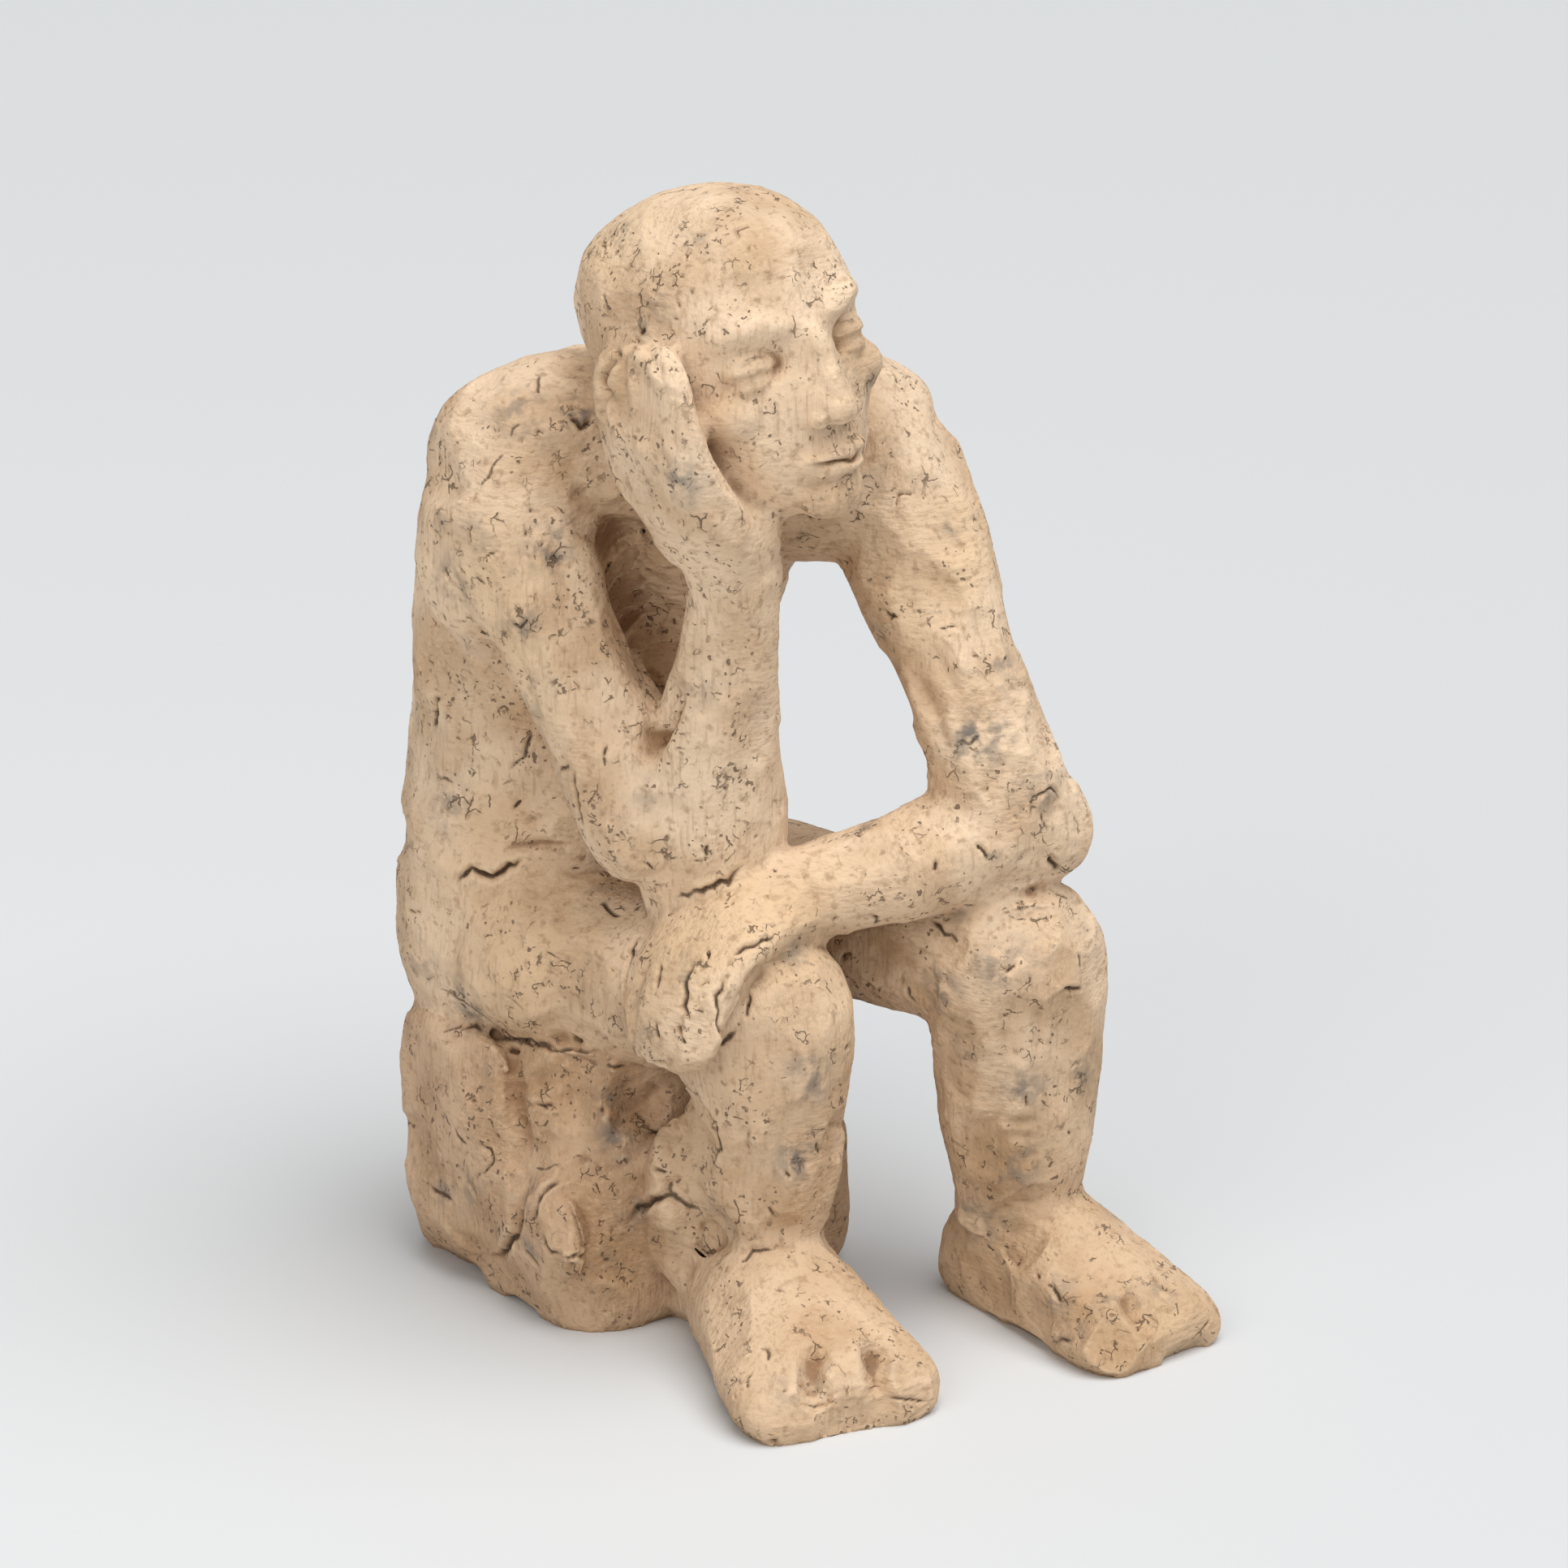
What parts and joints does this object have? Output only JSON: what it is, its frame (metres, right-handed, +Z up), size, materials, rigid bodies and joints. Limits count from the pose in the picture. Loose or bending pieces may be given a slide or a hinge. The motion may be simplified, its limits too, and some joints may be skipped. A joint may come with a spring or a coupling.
{
  "type": "seated thinker figurine",
  "caption": "Hand-built clay figure of a seated thinker on a block, cheek resting on the right hand and left forearm laid across the lap; free-standing ornament.",
  "frame": {"origin": "middle of the seat block's flat underside, on the surface that the object stands on", "axes": "+Z up, -Y the way the figure faces, +X the figure's own left"},
  "size_m": [0.1406, 0.1866, 0.2756],
  "materials": {
    "figure_clay": "matte unglazed fired clay with coarse grog, pits and grey smudges",
    "seat_clay": "matte unglazed fired clay with coarse grog, rougher and a little darker than the figure"
  },
  "bodies": {
    "root": {"seat_block": "seat_clay", "seat_corner_slab": "seat_clay", "seat_side_patch": "seat_clay", "hips": "figure_clay", "trunk": "figure_clay", "shoulder_yoke": "figure_clay", "neck": "figure_clay", "head": "figure_clay", "nose": "figure_clay", "right_brow": "figure_clay", "left_brow": "figure_clay", "lips": "figure_clay", "right_thigh": "figure_clay", "left_thigh": "figure_clay", "right_shin": "figure_clay", "left_shin": "figure_clay", "right_foot": "figure_clay", "left_foot": "figure_clay", "right_upper_arm": "figure_clay", "left_upper_arm": "figure_clay", "right_forearm": "figure_clay", "left_forearm": "figure_clay", "right_hand": "figure_clay", "left_hand": "figure_clay"}
  },
  "joints": []
}
